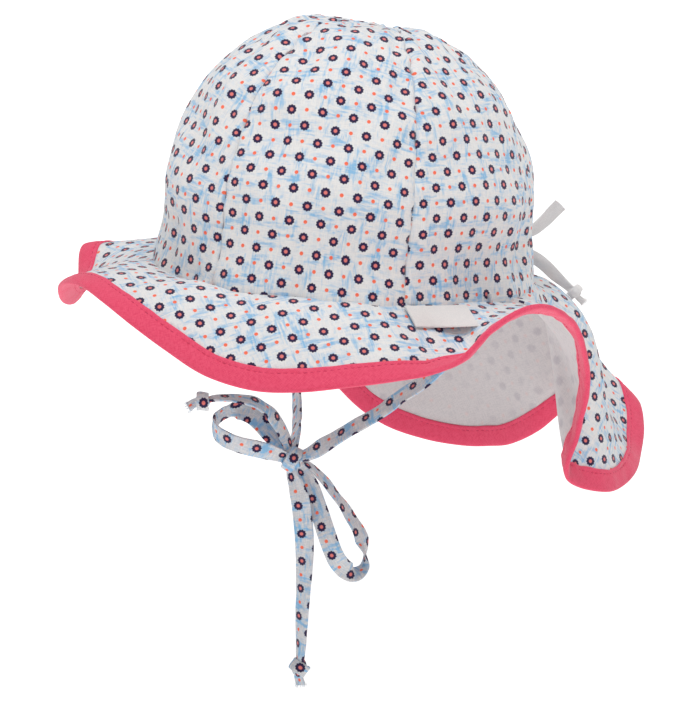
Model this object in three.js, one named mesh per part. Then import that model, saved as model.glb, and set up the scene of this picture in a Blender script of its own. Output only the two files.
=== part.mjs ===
import * as THREE from "three";

// A small child's sun hat: a crown of six panels, a waved brim, a long neck flap, a bound edge
// and two cloth chin ties in a bow. It has the shape that it keeps on a head.
// Millimetres and degrees. +Z is up, the front faces -Y and the wearer's left is +X.
// The origin is the middle of the head opening, level with the seam between crown and brim.

const OPENING = { halfWidth: 74, halfLength: 86 };
const WORN_TILT = 8; // the front of the hat is tipped up
const SEAM_TURN = 3.5; // the crown seams stand a little round from the middle line
const PANELS = 6;
const PANEL_PUFF = 1.2; // how far the middle of a panel stands out from its seams
const GAP = 0.3; // between pieces that meet
const SHEET_GAP = 0.45; // round the sheet's cloth, where both pieces are curved
const THICK = { crown: 1.4, brim: 1.2, binding: 2.4, tie: 1.4, tape: 1.2, label: 1 };
const BINDING_WIDTH = 9.5;
const TIE_WIDTH = 8;
const PINCH = { share: 0.62, reach: 12 }; // a tie's width at a knot, and how far that narrowing goes
const TAPE_WIDTH = 6;
const WALK_STEP = 0.95; // longest step in a walk over the sheet
const PROBE = { bearing: 0.05, along: 0.001 }; // half steps that a face's directions are read from
const CROWN_CELLS = { across: 8, up: 13, crowding: 0.9 }; // one panel, closer to the apex
const SHEET_CELLS = 6; // from the seam to the binding

// Crown levels from the brim seam (along 0) to the apex (along 1): height above the seam and
// the size of the level as a share of the head opening. The drawstring draws the second one in.
const CROWN_LEVELS = [
  // along, height, scale
  [0, 0, 1],
  [0.14, 16, 0.945],
  [0.3, 38, 0.945],
  [0.47, 60, 0.875],
  [0.62, 79, 0.76],
  [0.76, 94, 0.56],
  [0.89, 104.5, 0.315],
  [1, 108.5, 0],
];
const CROWN_LEAN = -6; // the dome's middle lies this far to the front of the opening's
const APEX_BACK = 0.06; // the point where the seams meet lies behind the dome's middle
const DIMPLE = { depth: 8, reach: 0.11 };
const APEX_END = 0.994; // the panels stop here, around a pinhole at the apex

// Brim and neck flap, a row for each fold: where the fold leaves the seam, where its free edge
// lies and where its middle passes, each as a bearing, and the last two with radius and height.
const FOLDS = [
  // seam, edge, edgeRadius, edgeHeight, middle, middleRadius, middleHeight
  [-180, -180, 109, -9, -180, 94, -2],
  [-168, -169, 115, -5, -169, 98, 0],
  [-158, -159, 120, -1, -158, 99, 2],
  [-150, -152, 116, -14, -151, 101, -1],
  [-142, -143, 114, -16, -143, 99, -1],
  [-135, -135, 116, -12, -135, 100, 2],
  [-128, -126, 119, -4, -127, 101, 6],
  [-121, -119, 122, 4, -120, 102, 10],
  [-114, -112, 124, 10, -113, 103, 13],
  [-106, -105, 124, 12, -105, 104, 15],
  [-98, -98, 124, 9, -98, 105, 14],
  [-90, -91, 122, 2, -90, 105, 12],
  [-82, -84, 119, -6, -83, 104, 8],
  [-73, -75, 118, -14, -74, 102, 4],
  [-65, -66, 116, -18, -65, 101, 1],
  [-56, -57, 114, -18, -56, 99, 0],
  [-47, -48, 113, -16, -47, 97, 0],
  [-38, -38, 112, -14, -38, 95, -1],
  [-30, -30, 111, -12, -30, 93, 0],
  [-22, -23, 107, -9, -22, 91, 0],
  [-15, -17, 109, 1, -16, 91, 0],
  [-7, -10, 110, 7, -8, 91, 1],
  [1, -3, 111, 7, -1, 90, 0],
  [8, 4, 111, 0, 6, 90, -2],
  [14, 9, 111, -9, 12, 91, -5],
  [18, 13, 110, -21, 16, 90, -10],
  [21, 16, 109, -31, 19, 88, -16],
  [24, 18, 107, -42, 21, 87, -22],
  [27, 20, 103, -54, 23, 87, -29],
  [30, 21, 101, -62, 25, 88, -35],
  [33, 22, 97, -73, 27, 90, -41],
  [36, 24, 96, -80, 30, 93, -45],
  [40, 28, 100, -86, 34, 97, -47],
  [44, 34, 109, -91, 39, 102, -48],
  [49, 41, 116, -93, 45, 106, -47],
  [54, 47, 123, -91, 50, 109, -45],
  [58, 53, 128, -88, 55, 111, -43],
  [62, 59, 134, -80, 60, 114, -41],
  [66, 64, 137, -71, 65, 114, -38],
  [71, 70, 132, -68, 70, 110, -38],
  [76, 75, 118, -74, 75, 103, -42],
  [82, 79, 106, -86, 80, 98, -48],
  [88, 86, 102, -95, 87, 97, -53],
  [95, 93, 100, -99, 94, 96, -55],
  [104, 101, 98, -101, 102, 95, -56],
  [113, 110, 93, -99, 111, 92, -55],
  [122, 120, 86, -92, 121, 88, -51],
  [131, 129, 87, -83, 130, 86, -46],
  [138, 136, 89, -73, 137, 86, -40],
  [144, 143, 92, -66, 143, 87, -36],
  [150, 150, 96, -60, 150, 89, -32],
  [156, 156, 101, -48, 156, 91, -24],
  [163, 163, 104, -34, 163, 92, -15],
  [170, 170, 107, -18, 170, 93, -6],
];
const FLAP = { from: 12, to: 168 }; // seam bearings between which the sheet is the neck flap
const FLAP_CUT = 0.15; // half the cut between brim and flap, in degrees at the seam
// Stretches of seam bearing with their number of steps: closest where the flap folds most.
const SECTIONS = [
  [-180, 7, 34],
  [9, 78, 30],
  [82, 176, 19],
];

// Routes of the cloth strips, point by point along their middle lines.
const ROUTES = {
  chinTieLeft: [
    [70.4, 6.1, 2], [71.2, 5.6, -3], [70, 4.5, -9], [66.5, 2.5, -15], [61, 0, -21.5],
    [55.5, -3, -28.5], [49, -7, -36], [41, -11, -43], [32, -16, -51], [23, -21, -58],
    [14, -26, -65], [4.9, -30.7, -71.4],
  ],
  chinTieRight: [
    [-64.6, 32.1, -1.5], [-65.4, 31.8, -7], [-64.5, 30.5, -15], [-60, 26, -26], [-53, 21, -36],
    [-44, 14, -45], [-34, 6, -54], [-24, -4, -60], [-14, -15, -65], [-2.4, -29.2, -70.3],
  ],
  bowLoopLeft: [
    [-0.9, -37.6, -71.3], [-2.4, -43, -68.9], [-5.1, -49, -66.6], [-9.3, -53.5, -64.7],
    [-14, -56.3, -62.9], [-19.4, -56.5, -61.2], [-23.9, -54.5, -59.4], [-25.9, -50.9, -57.4],
    [-24.5, -47, -55.2], [-20.8, -43.7, -54.1], [-16.8, -40.7, -55.5], [-13.1, -38.1, -58.8],
    [-9.9, -35.9, -63.2], [-5.2, -33.9, -69],
  ],
  bowTailLeft: [
    [-1.8, -33.3, -67.5], [-3.6, -34.2, -62.6], [-4.7, -37.2, -56.8], [-6.1, -41.9, -51.1],
    [-8.7, -46.2, -47.6], [-12.3, -50.8, -46], [-16.2, -55, -45.5], [-19.8, -58.9, -45.6],
  ],
  bowTailDown: [
    [1.6, -34.3, -79.4], [4, -34.8, -83.2], [6, -34.9, -88.4], [6.8, -34.4, -95.4],
    [7.3, -33.7, -104.6], [7, -33.2, -115.7], [6.2, -33.1, -126.9], [5.5, -33.2, -138],
    [4.7, -33.2, -149.3], [4.2, -33.3, -158.8],
  ],
  bowLoopRight: [
    [2.6, -30, -78.2], [4.6, -28.8, -82.6], [7.4, -28, -88.6], [11.1, -28.4, -95],
    [15.2, -29.4, -101.7], [18.3, -29.3, -108.4], [20.3, -27.1, -115], [21.4, -22.9, -119.8],
    [21.6, -16.9, -122], [21.5, -12.3, -120], [20.4, -10.6, -114.9], [18.2, -10.6, -109.1],
    [15.2, -12.3, -102.3], [12, -14.9, -95.4], [8.6, -18.5, -88.3], [5.4, -22.6, -81.8],
    [2.9, -27.3, -76.3],
  ],
  tapeUpper: [
    [21.9, 80.5, 4.5], [25.5, 82, 5], [29.5, 85, 6], [33, 89, 10], [36, 92.5, 15],
    [38, 94, 17.5],
  ],
  tapeLower: [
    [22.6, 80.9, -3], [26, 82.3, -3.2], [30, 86, -5.5], [33.5, 90.5, -10], [36.5, 94, -14.5],
    [40.5, 97.5, -19],
  ],
};
// The way that the flat side of each strip faces at its start and at its end, as a bearing and a
// slope upwards, and which of these two ends a knot narrows.
const FACINGS = {
  chinTieLeft: { start: [4, 0], end: [-75, 30], pinched: [false, true] },
  chinTieRight: { start: [157, 0], end: [290, 20], pinched: [false, true] },
  bowLoopLeft: { start: [-48, 0], end: [-228, 0], pinched: [true, true] },
  bowTailLeft: { start: [-48, 15], end: [-48, 75], pinched: [true, true] },
  bowTailDown: { start: [-48, 0], end: [-108, 0], pinched: [true, true] },
  bowLoopRight: { start: [-48, 0], end: [-48, -180], pinched: [true, true] },
  tape: { start: [72, 0], end: [-35, 20], pinched: [false, false] },
};
// Knots as balls drawn out along their own axes.
const KNOTS = {
  bow_knot: { at: [0, -33, -73.5], size: [10, 9, 12] },
  bow_tail_left_knot: { at: [-22.5, -62.2, -46.5], size: [8, 8, 7] },
  bow_tail_down_knot: { at: [3.8, -33.2, -165.7], size: [7, 7, 13] },
  drawstring_end_knot: { at: [42.5, 99, -21], size: [6, 6, 6] },
};
const LABEL = { from: -27, to: -10, inset: 1.2, length: 9, standoff: 0.9, rise: 2 };

const radians = THREE.MathUtils.degToRad;

// A smooth curve through the rows of a table, read at any value of its first column.
function smoothTable(rows) {
  const at = rows.map((row) => row[0]);
  const values = rows.map((row) => row.slice(1));
  const steps = at.slice(1).map((x, i) => x - at[i]);
  const rates = steps.map((step, i) => values[i].map((v, c) => (values[i + 1][c] - v) / step));
  const last = rows.length - 1;
  const slopes = values.map((value, i) => {
    if (i === 0) return rates[0];
    if (i === last) return rates[last - 1];
    const whole = steps[i - 1] + steps[i];
    return value.map((_, c) => (rates[i - 1][c] * steps[i] + rates[i][c] * steps[i - 1]) / whole);
  });
  return (x) => {
    let i = 0;
    while (i < last - 1 && x >= at[i + 1]) i += 1;
    const t = (x - at[i]) / steps[i];
    const start = 2 * t ** 3 - 3 * t ** 2 + 1;
    const leave = (t ** 3 - 2 * t ** 2 + t) * steps[i];
    const arrive = (t ** 3 - t ** 2) * steps[i];
    return values[i].map(
      (v, c) =>
        start * v + leave * slopes[i][c] + (1 - start) * values[i + 1][c] + arrive * slopes[i + 1][c],
    );
  };
}

function polar(bearing, radius, height) {
  const angle = radians(bearing);
  return new THREE.Vector3(radius * Math.cos(angle), radius * Math.sin(angle), height);
}

function tipped(point) {
  return point.applyAxisAngle(new THREE.Vector3(1, 0, 0), -radians(WORN_TILT));
}

function seamPoint(bearing) {
  const { x, y } = polar(bearing, 1, 0);
  return tipped(new THREE.Vector3(OPENING.halfWidth * x, OPENING.halfLength * y, 0));
}

const crownLevel = smoothTable(CROWN_LEVELS);
const crownTop = CROWN_LEVELS.at(-1)[1];

// The crown's outer face. The pole is moved back on the dome, and sinks into a dimple.
function crownPoint(bearing, along) {
  const left = 1 - along;
  const flat = polar(bearing, left, 0);
  flat.y += APEX_BACK * (1 - left ** 2) ** 2;
  const [height, scale] = crownLevel(1 - Math.hypot(flat.x, flat.y));
  const sunk = height - DIMPLE.depth * Math.exp(-((left / DIMPLE.reach) ** 2));
  const turn = Math.atan2(flat.y, flat.x);
  const panel = (((bearing - SEAM_TURN + 90) % 60) + 60) % 60;
  const puff = PANEL_PUFF * Math.sin((Math.PI * panel) / 60) * Math.sin(Math.PI * along);
  return tipped(
    new THREE.Vector3(
      (OPENING.halfWidth * scale + puff) * Math.cos(turn),
      (OPENING.halfLength * scale + puff) * Math.sin(turn) + CROWN_LEAN * (sunk / crownTop) ** 2,
      sunk,
    ),
  );
}

const turned = (row, by) => row.map((v, c) => ([0, 1, 4].includes(c) ? v + by : v));
const fold = smoothTable([
  ...FOLDS.slice(-3).map((row) => turned(row, -360)),
  ...FOLDS,
  ...FOLDS.slice(0, 3).map((row) => turned(row, 360)),
]);

// The middle face of brim and flap: along is 0 at the seam and 1 at the free edge.
function sheetPoint(bearing, along) {
  const [edge, edgeRadius, edgeHeight, middle, middleRadius, middleHeight] = fold(bearing);
  return seamPoint(bearing)
    .multiplyScalar((1 - along) * (1 - 2 * along))
    .addScaledVector(polar(middle, middleRadius, middleHeight), 4 * along * (1 - along))
    .addScaledVector(polar(edge, edgeRadius, edgeHeight), along * (2 * along - 1));
}

// The two directions along a face at one of its points, and the way it faces.
function faceAt(surface, bearing, along) {
  const turn = PROBE.bearing;
  const reach = PROBE.along;
  const around = surface(bearing + turn, along).sub(surface(bearing - turn, along));
  const down = surface(bearing, along + reach).sub(surface(bearing, along - reach));
  around.divideScalar(2 * turn);
  down.divideScalar(2 * reach);
  return { around, down, normal: around.clone().cross(down).normalize() };
}

// Places on the sheet at the given distances in from its free edge, square to the edge.
function inFromEdge(bearing, distances) {
  let place = { bearing, along: 1 };
  let travelled = 0;
  let heading;
  return distances.map((distance) => {
    const count = Math.ceil((distance - travelled) / WALK_STEP);
    const stride = (distance - travelled) / Math.max(count, 1);
    for (let i = 0; i < count; i += 1) {
      const { around, down, normal } = faceAt(sheetPoint, place.bearing, place.along);
      heading ??= around.clone().cross(normal);
      heading.addScaledVector(normal, -heading.dot(normal)).normalize();
      const [aa, ad, dd] = [around.dot(around), around.dot(down), down.dot(down)];
      const [ha, hd] = [around.dot(heading) * stride, down.dot(heading) * stride];
      const area = aa * dd - ad * ad;
      place = {
        bearing: place.bearing + (dd * ha - ad * hd) / area,
        along: place.along + (aa * hd - ad * ha) / area,
      };
    }
    travelled = distance;
    return place;
  });
}

// A closed solid between two faces, each given as rows of points. A wrapped one is a ring.
function slab(front, back, wraps = false) {
  const positions = [];
  const numbered = (face) => face.map((row) => row.map((p) => positions.push(p.x, p.y, p.z) / 3 - 1));
  const [f, b] = [numbered(front), numbered(back)];
  const faces = [];
  const quad = (p, q, r, s) => faces.push([p, q, r], [p, r, s]);
  const rows = f.length;
  const end = f[0].length - 1;
  for (let i = 0; i < (wraps ? rows : rows - 1); i += 1) {
    const k = (i + 1) % rows;
    for (let j = 0; j < end; j += 1) {
      quad(f[i][j], f[k][j], f[k][j + 1], f[i][j + 1]);
      quad(b[i][j + 1], b[k][j + 1], b[k][j], b[i][j]);
    }
    quad(f[k][0], f[i][0], b[i][0], b[k][0]);
    quad(f[i][end], f[k][end], b[k][end], b[i][end]);
  }
  for (let j = 0; j < end && !wraps; j += 1) {
    quad(f[0][j], f[0][j + 1], b[0][j + 1], b[0][j]);
    quad(f[rows - 1][j + 1], f[rows - 1][j], b[rows - 1][j], b[rows - 1][j + 1]);
  }
  const corner = (i) => new THREE.Vector3().fromArray(positions, 3 * i);
  const volume = faces.reduce((sum, [p, q, r]) => sum + corner(p).dot(corner(q).cross(corner(r))), 0);
  const outward = volume > 0 ? faces : faces.map(([p, q, r]) => [p, r, q]);
  const geometry = new THREE.BufferGeometry();
  geometry.setAttribute("position", new THREE.Float32BufferAttribute(positions, 3));
  geometry.setIndex(outward.flat());
  geometry.computeVertexNormals();
  return geometry;
}

// A slab that follows a face: each place is moved off the face by the two offsets.
function cloth(surface, places, offsets, wraps) {
  const side = (offset) =>
    places.map((row) =>
      row.map(({ bearing, along }) =>
        surface(bearing, along).addScaledVector(faceAt(surface, bearing, along).normal, offset),
      ),
    );
  return slab(side(offsets[0]), side(offsets[1]), wraps);
}

function evenly(from, to, count) {
  return Array.from({ length: count + 1 }, (_, i) => from + ((to - from) * i) / count);
}

function crownPanel(index) {
  const start = SEAM_TURN - 90 + (360 / PANELS) * index;
  const places = evenly(0, 1, CROWN_CELLS.across).map((share) =>
    evenly(0, 1, CROWN_CELLS.up).map((level) => {
      const along = APEX_END * level ** CROWN_CELLS.crowding;
      const { x, y } = crownPoint(start, along);
      const centre = crownPoint(start, 1);
      const margin = THREE.MathUtils.radToDeg(GAP / 2 / Math.hypot(x - centre.x, y - centre.y));
      return { bearing: start + margin + (360 / PANELS - 2 * margin) * share, along };
    }),
  );
  return cloth(crownPoint, places, [0, -THICK.crown]);
}

const sectionBearings = SECTIONS.flatMap((stretch) => evenly(...stretch));

function sheetPart(bearings) {
  const places = bearings.map((bearing) => {
    const [stop] = inFromEdge(bearing, [BINDING_WIDTH + SHEET_GAP]);
    const start = SHEET_GAP / seamPoint(bearing).distanceTo(sheetPoint(bearing, 1));
    return evenly(0, 1, SHEET_CELLS).map((share) => ({
      bearing: bearing + (stop.bearing - bearing) * share,
      along: start + (stop.along - start) * share,
    }));
  });
  return cloth(sheetPoint, places, [THICK.brim / 2, -THICK.brim / 2]);
}

function edgeBinding() {
  const places = sectionBearings.map((bearing) =>
    inFromEdge(bearing, [0, BINDING_WIDTH / 2, BINDING_WIDTH]),
  );
  return cloth(sheetPoint, places, [THICK.binding / 2, -THICK.binding / 2], true);
}

// How much of a tie's width is left at a distance from a knot.
function pinch(distance) {
  return THREE.MathUtils.lerp(PINCH.share, 1, THREE.MathUtils.smoothstep(distance, 0, PINCH.reach));
}

// A flat strip of cloth along a route. Its flat side turns from one facing to the other.
function strip(route, width, thickness, { start, end, pinched }) {
  const points = route.map((point) => new THREE.Vector3(...point));
  const line = new THREE.CatmullRomCurve3(points);
  const count = 2 * (points.length - 1);
  const length = line.getLength();
  const sides = [1, -1].map((side) =>
    evenly(0, 1, count).map((share) => {
      const [bearing, slope] = start.map((angle, i) => angle + (end[i] - angle) * share);
      const facing = polar(bearing, Math.cos(radians(slope)), Math.sin(radians(slope)));
      const along = line.getTangentAt(share);
      const across = along.clone().cross(facing).normalize();
      const out = across.clone().cross(along).multiplyScalar((side * thickness) / 2);
      const middle = line.getPointAt(share).add(out);
      const starting = pinched[0] ? pinch(share * length) : 1;
      const ending = pinched[1] ? pinch((1 - share) * length) : 1;
      const half = (width / 2) * starting * ending;
      return [-1, 1].map((edge) => middle.clone().addScaledVector(across, edge * half));
    }),
  );
  return slab(...sides);
}

function knot({ size }) {
  return new THREE.IcosahedronGeometry(0.5, 2).scale(...size);
}

// A folded label sewn into the seam. It stands off the brim.
function label() {
  const reach = seamPoint(LABEL.from).distanceTo(sheetPoint(LABEL.from, 1));
  const side = (lift) =>
    evenly(LABEL.from, LABEL.to, 5).map((bearing) =>
      evenly(0, 1, 3).map((share) => {
        const along = (LABEL.inset + LABEL.length * share) / reach;
        const off = LABEL.standoff + LABEL.rise * share + lift;
        const { normal } = faceAt(sheetPoint, bearing, along);
        return sheetPoint(bearing, along).addScaledVector(normal, -off);
      }),
    );
  return slab(side(0), side(THICK.label));
}

const print = { color: 0xe9e6ea, roughness: 0.9, metalness: 0 };
const pink = { color: 0xeb5f82, roughness: 0.8, metalness: 0 };
const white = { color: 0xe2dedd, roughness: 0.85, metalness: 0 };

const hat = new THREE.Group();

function add(name, geometry, look, at = [0, 0, 0]) {
  const mesh = new THREE.Mesh(geometry, new THREE.MeshStandardMaterial(look));
  mesh.name = name;
  mesh.position.set(...at);
  hat.add(mesh);
}

for (let index = 0; index < PANELS; index += 1) {
  add(`crown_panel_${index + 1}`, crownPanel(index), print);
}

const before = sectionBearings.filter((bearing) => bearing < FLAP.from);
const within = sectionBearings.filter((bearing) => bearing > FLAP.from && bearing < FLAP.to);
const after = sectionBearings.filter((bearing) => bearing > FLAP.to).map((b) => b - 360);
const brimEnds = [FLAP.to + FLAP_CUT - 360, FLAP.from - FLAP_CUT];
add("brim", sheetPart([brimEnds[0], ...after, ...before, brimEnds[1]]), print);
add("neck_flap", sheetPart([FLAP.from + FLAP_CUT, ...within, FLAP.to - FLAP_CUT]), print);
add("edge_binding", edgeBinding(), pink);
add("label", label(), white);

add("chin_tie_left", strip(ROUTES.chinTieLeft, TIE_WIDTH, THICK.tie, FACINGS.chinTieLeft), print);
add("chin_tie_right", strip(ROUTES.chinTieRight, TIE_WIDTH, THICK.tie, FACINGS.chinTieRight), print);
add("bow_loop_left", strip(ROUTES.bowLoopLeft, TIE_WIDTH, THICK.tie, FACINGS.bowLoopLeft), print);
add("bow_loop_right", strip(ROUTES.bowLoopRight, TIE_WIDTH, THICK.tie, FACINGS.bowLoopRight), print);
add("bow_tail_left", strip(ROUTES.bowTailLeft, TIE_WIDTH, THICK.tie, FACINGS.bowTailLeft), print);
add("bow_tail_down", strip(ROUTES.bowTailDown, TIE_WIDTH, THICK.tie, FACINGS.bowTailDown), print);
add("drawstring_end_upper", strip(ROUTES.tapeUpper, TAPE_WIDTH, THICK.tape, FACINGS.tape), white);
add("drawstring_end_lower", strip(ROUTES.tapeLower, TAPE_WIDTH, THICK.tape, FACINGS.tape), white);
for (const [name, shape] of Object.entries(KNOTS)) {
  add(name, knot(shape), name.startsWith("bow") ? print : white, shape.at);
}

export default hat;
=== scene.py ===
"""A small child's sun hat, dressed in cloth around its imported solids.

Metres and degrees, in the frame of the part: +Z is up, the front faces -Y, the wearer's left
is +X, and the origin is the middle of the head opening. Cloth maps are in millimetres, because
the print is measured in them.
"""

import bpy
import numpy as np
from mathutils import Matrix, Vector


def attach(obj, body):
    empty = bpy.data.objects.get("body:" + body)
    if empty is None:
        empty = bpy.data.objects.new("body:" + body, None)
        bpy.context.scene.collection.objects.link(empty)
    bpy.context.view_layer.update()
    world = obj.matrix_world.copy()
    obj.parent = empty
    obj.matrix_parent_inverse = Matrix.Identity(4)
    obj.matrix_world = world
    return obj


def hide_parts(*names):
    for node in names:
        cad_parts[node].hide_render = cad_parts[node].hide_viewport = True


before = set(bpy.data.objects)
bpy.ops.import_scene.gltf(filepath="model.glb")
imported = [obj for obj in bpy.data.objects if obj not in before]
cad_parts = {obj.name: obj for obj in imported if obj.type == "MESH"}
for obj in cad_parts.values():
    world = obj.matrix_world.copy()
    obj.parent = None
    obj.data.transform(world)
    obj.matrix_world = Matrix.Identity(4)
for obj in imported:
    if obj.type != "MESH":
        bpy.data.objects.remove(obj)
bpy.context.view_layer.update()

MM = 0.001

# Sizes, as in the part.
HALF_WIDTH, HALF_LENGTH = 0.074, 0.086
WORN_TILT = 8
SEAM_TURN = 3.5
PANELS = 6
PANEL_PUFF = 0.0012
BINDING_WIDTH = 0.0095
TIE_WIDTH, TIE_THICKNESS = 0.008, 0.0012
TAPE_WIDTH, TAPE_THICKNESS = 0.006, 0.001
CLOTH = 0.0009

CROWN_LEVELS = [
    # along, height, scale
    (0, 0, 1),
    (0.14, 0.016, 0.955),
    (0.3, 0.038, 0.948),
    (0.47, 0.060, 0.862),
    (0.62, 0.079, 0.735),
    (0.76, 0.094, 0.53),
    (0.89, 0.1045, 0.29),
    (1, 0.1085, 0),
]
CROWN_LEAN = -0.006
APEX_BACK = 0.06
DIMPLE_DEPTH, DIMPLE_REACH = 0.0055, 0.11
APEX_END = 0.994
CROWN_FOOT = -0.006

# Brim and neck flap, fold by fold: the bearing at the seam, the free edge and the fold's middle.
FOLDS = [
    # seam, edge, edge radius, edge height, middle, middle radius, middle height
    (-180, -180, 0.109, -0.013, -180, 0.094, -0.001),
    (-168, -169, 0.115, -0.009, -169, 0.098, 0.001),
    (-158, -159, 0.12, -0.001, -158, 0.099, 0.0025),
    (-150, -152, 0.116, -0.014, -151, 0.101, -0.001),
    (-142, -143, 0.114, -0.016, -143, 0.099, -0.001),
    (-135, -135, 0.116, -0.012, -135, 0.1, 0.002),
    (-128, -126, 0.119, -0.004, -127, 0.101, 0.006),
    (-121, -119, 0.122, 0.004, -120, 0.102, 0.01),
    (-114, -112, 0.124, 0.01, -113, 0.103, 0.013),
    (-106, -105, 0.124, 0.012, -105, 0.104, 0.015),
    (-98, -98, 0.124, 0.009, -98, 0.105, 0.014),
    (-90, -91, 0.122, 0.002, -90, 0.105, 0.012),
    (-82, -84, 0.119, -0.006, -83, 0.104, 0.008),
    (-73, -75, 0.118, -0.014, -74, 0.102, 0.004),
    (-65, -66, 0.116, -0.018, -65, 0.101, 0.001),
    (-56, -57, 0.114, -0.018, -55, 0.0995, -0.002),
    (-47, -48, 0.113, -0.016, -45, 0.0985, -0.0025),
    (-38, -38, 0.112, -0.014, -35, 0.0965, -0.005),
    (-30, -30, 0.111, -0.012, -27, 0.093, -0.008),
    (-22, -23, 0.107, -0.009, -17, 0.0915, -0.0075),
    (-15, -17, 0.109, 0.001, -13, 0.0905, -0.003),
    (-7, -10, 0.11, 0.007, -6, 0.0905, -0.001),
    (1, -3, 0.111, 0.007, 1, 0.09, -0.0015),
    (8, 4, 0.111, 0, 8, 0.0905, -0.0025),
    (14, 9, 0.111, -0.009, 14, 0.092, -0.006),
    (18, 13, 0.11, -0.021, 20, 0.0925, -0.0105),
    (21, 16, 0.109, -0.031, 23, 0.0915, -0.0165),
    (24, 18, 0.107, -0.042, 27, 0.092, -0.023),
    (27, 20, 0.103, -0.054, 30, 0.093, -0.0305),
    (30, 21, 0.101, -0.062, 32, 0.092, -0.0375),
    (33, 22, 0.097, -0.073, 33, 0.089, -0.044),
    (36, 24, 0.096, -0.08, 35, 0.087, -0.049),
    (40, 28, 0.1, -0.086, 39, 0.0915, -0.0505),
    (44, 34, 0.109, -0.091, 42, 0.0985, -0.0505),
    (49, 41, 0.116, -0.093, 48, 0.104, -0.0495),
    (54, 47, 0.123, -0.091, 56, 0.1045, -0.049),
    (58, 53, 0.128, -0.088, 62, 0.1055, -0.048),
    (62, 59, 0.134, -0.08, 67, 0.1095, -0.0455),
    (66, 64, 0.1365, -0.0725, 70, 0.1105, -0.0415),
    (71, 70, 0.1305, -0.0713, 72, 0.1085, -0.0405),
    (76, 75, 0.117, -0.078, 75, 0.103, -0.0435),
    (82, 79, 0.106, -0.089, 80, 0.098, -0.0495),
    (88, 86, 0.102, -0.0972, 87, 0.097, -0.0542),
    (95, 93, 0.1, -0.1006, 94, 0.096, -0.056),
    (104, 101, 0.098, -0.1022, 102, 0.095, -0.0565),
    (113, 110, 0.093, -0.1, 111, 0.092, -0.0555),
    (122, 120, 0.086, -0.0932, 121, 0.088, -0.0517),
    (131, 129, 0.087, -0.0846, 130, 0.086, -0.047),
    (138, 136, 0.089, -0.0742, 137, 0.086, -0.0407),
    (144, 143, 0.092, -0.066, 143, 0.087, -0.036),
    (150, 150, 0.096, -0.06, 150, 0.089, -0.032),
    (156, 156, 0.101, -0.048, 156, 0.091, -0.024),
    (163, 163, 0.104, -0.034, 163, 0.092, -0.015),
    (170, 170, 0.107, -0.02, 170, 0.093, -0.0045),
]
FLAP_FROM, FLAP_TO = 12, 168
# A swell of the flap beside its near lobe: how far it stands out, its bearing, how far round it
# reaches, the share of the sheet's depth that it takes, and how much it rises as it stands out.
FLAP_SWELL, SWELL_BEARING, SWELL_REACH, SWELL_END, SWELL_RISE = 0.0078, 56, 16, 0.8, 0.7

# Routes of the cloth strips.
CHIN_TIE_LEFT = [
    (0.0704, 0.0061, 0.002), (0.0712, 0.0056, -0.003), (0.07, 0.0045, -0.009),
    (0.0665, 0.0025, -0.015), (0.061, 0, -0.0215), (0.0555, -0.003, -0.0285),
    (0.049, -0.007, -0.036), (0.041, -0.011, -0.043), (0.032, -0.016, -0.051),
    (0.023, -0.021, -0.058), (0.014, -0.026, -0.065), (0.0049, -0.0307, -0.0714),
]
CHIN_TIE_RIGHT = [
    (-0.0646, 0.0321, -0.0015), (-0.0654, 0.0318, -0.007), (-0.0645, 0.0305, -0.015),
    (-0.06, 0.026, -0.026), (-0.053, 0.021, -0.036), (-0.044, 0.014, -0.045),
    (-0.034, 0.006, -0.054), (-0.024, -0.004, -0.06), (-0.014, -0.015, -0.065),
    (-0.0024, -0.0292, -0.0703),
]
BOW_LOOP_LEFT = [
    (-0.0009, -0.0376, -0.0713), (-0.0024, -0.043, -0.0689), (-0.0051, -0.049, -0.0666),
    (-0.0093, -0.0535, -0.0647), (-0.014, -0.0563, -0.0629), (-0.0194, -0.0565, -0.0612),
    (-0.0239, -0.0545, -0.0594), (-0.0259, -0.0509, -0.0574), (-0.0245, -0.047, -0.0552),
    (-0.0208, -0.0437, -0.0541), (-0.0168, -0.0407, -0.0555), (-0.0131, -0.0381, -0.0588),
    (-0.0099, -0.0359, -0.0632), (-0.0052, -0.0339, -0.069),
]
BOW_TAIL_LEFT = [
    (-0.0018, -0.0333, -0.0675), (-0.0036, -0.0342, -0.0626), (-0.0047, -0.0372, -0.0568),
    (-0.0061, -0.0419, -0.0511), (-0.0087, -0.0462, -0.0476), (-0.0123, -0.0508, -0.046),
    (-0.0162, -0.055, -0.0455), (-0.0198, -0.0589, -0.0456),
]
BOW_TAIL_DOWN = [
    (0.0016, -0.0343, -0.0794), (0.004, -0.0348, -0.0832), (0.006, -0.0349, -0.0884),
    (0.0068, -0.0344, -0.0954), (0.0073, -0.0337, -0.1046), (0.007, -0.0332, -0.1157),
    (0.0062, -0.0331, -0.1269), (0.0055, -0.0332, -0.138), (0.0047, -0.0332, -0.1493),
    (0.0042, -0.0333, -0.1588),
]
BOW_LOOP_RIGHT = [
    (0.0026, -0.03, -0.0782), (0.0046, -0.0288, -0.0826), (0.0074, -0.028, -0.0886),
    (0.0111, -0.0284, -0.095), (0.0152, -0.0294, -0.1017), (0.0183, -0.0293, -0.1084),
    (0.0203, -0.0271, -0.115), (0.0214, -0.0229, -0.1198), (0.0216, -0.0169, -0.122),
    (0.0215, -0.0123, -0.12), (0.0204, -0.0106, -0.1149), (0.0182, -0.0106, -0.1091),
    (0.0152, -0.0123, -0.1023), (0.012, -0.0149, -0.0954), (0.0086, -0.0185, -0.0883),
    (0.0054, -0.0226, -0.0818), (0.0029, -0.0273, -0.0763),
]
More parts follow.
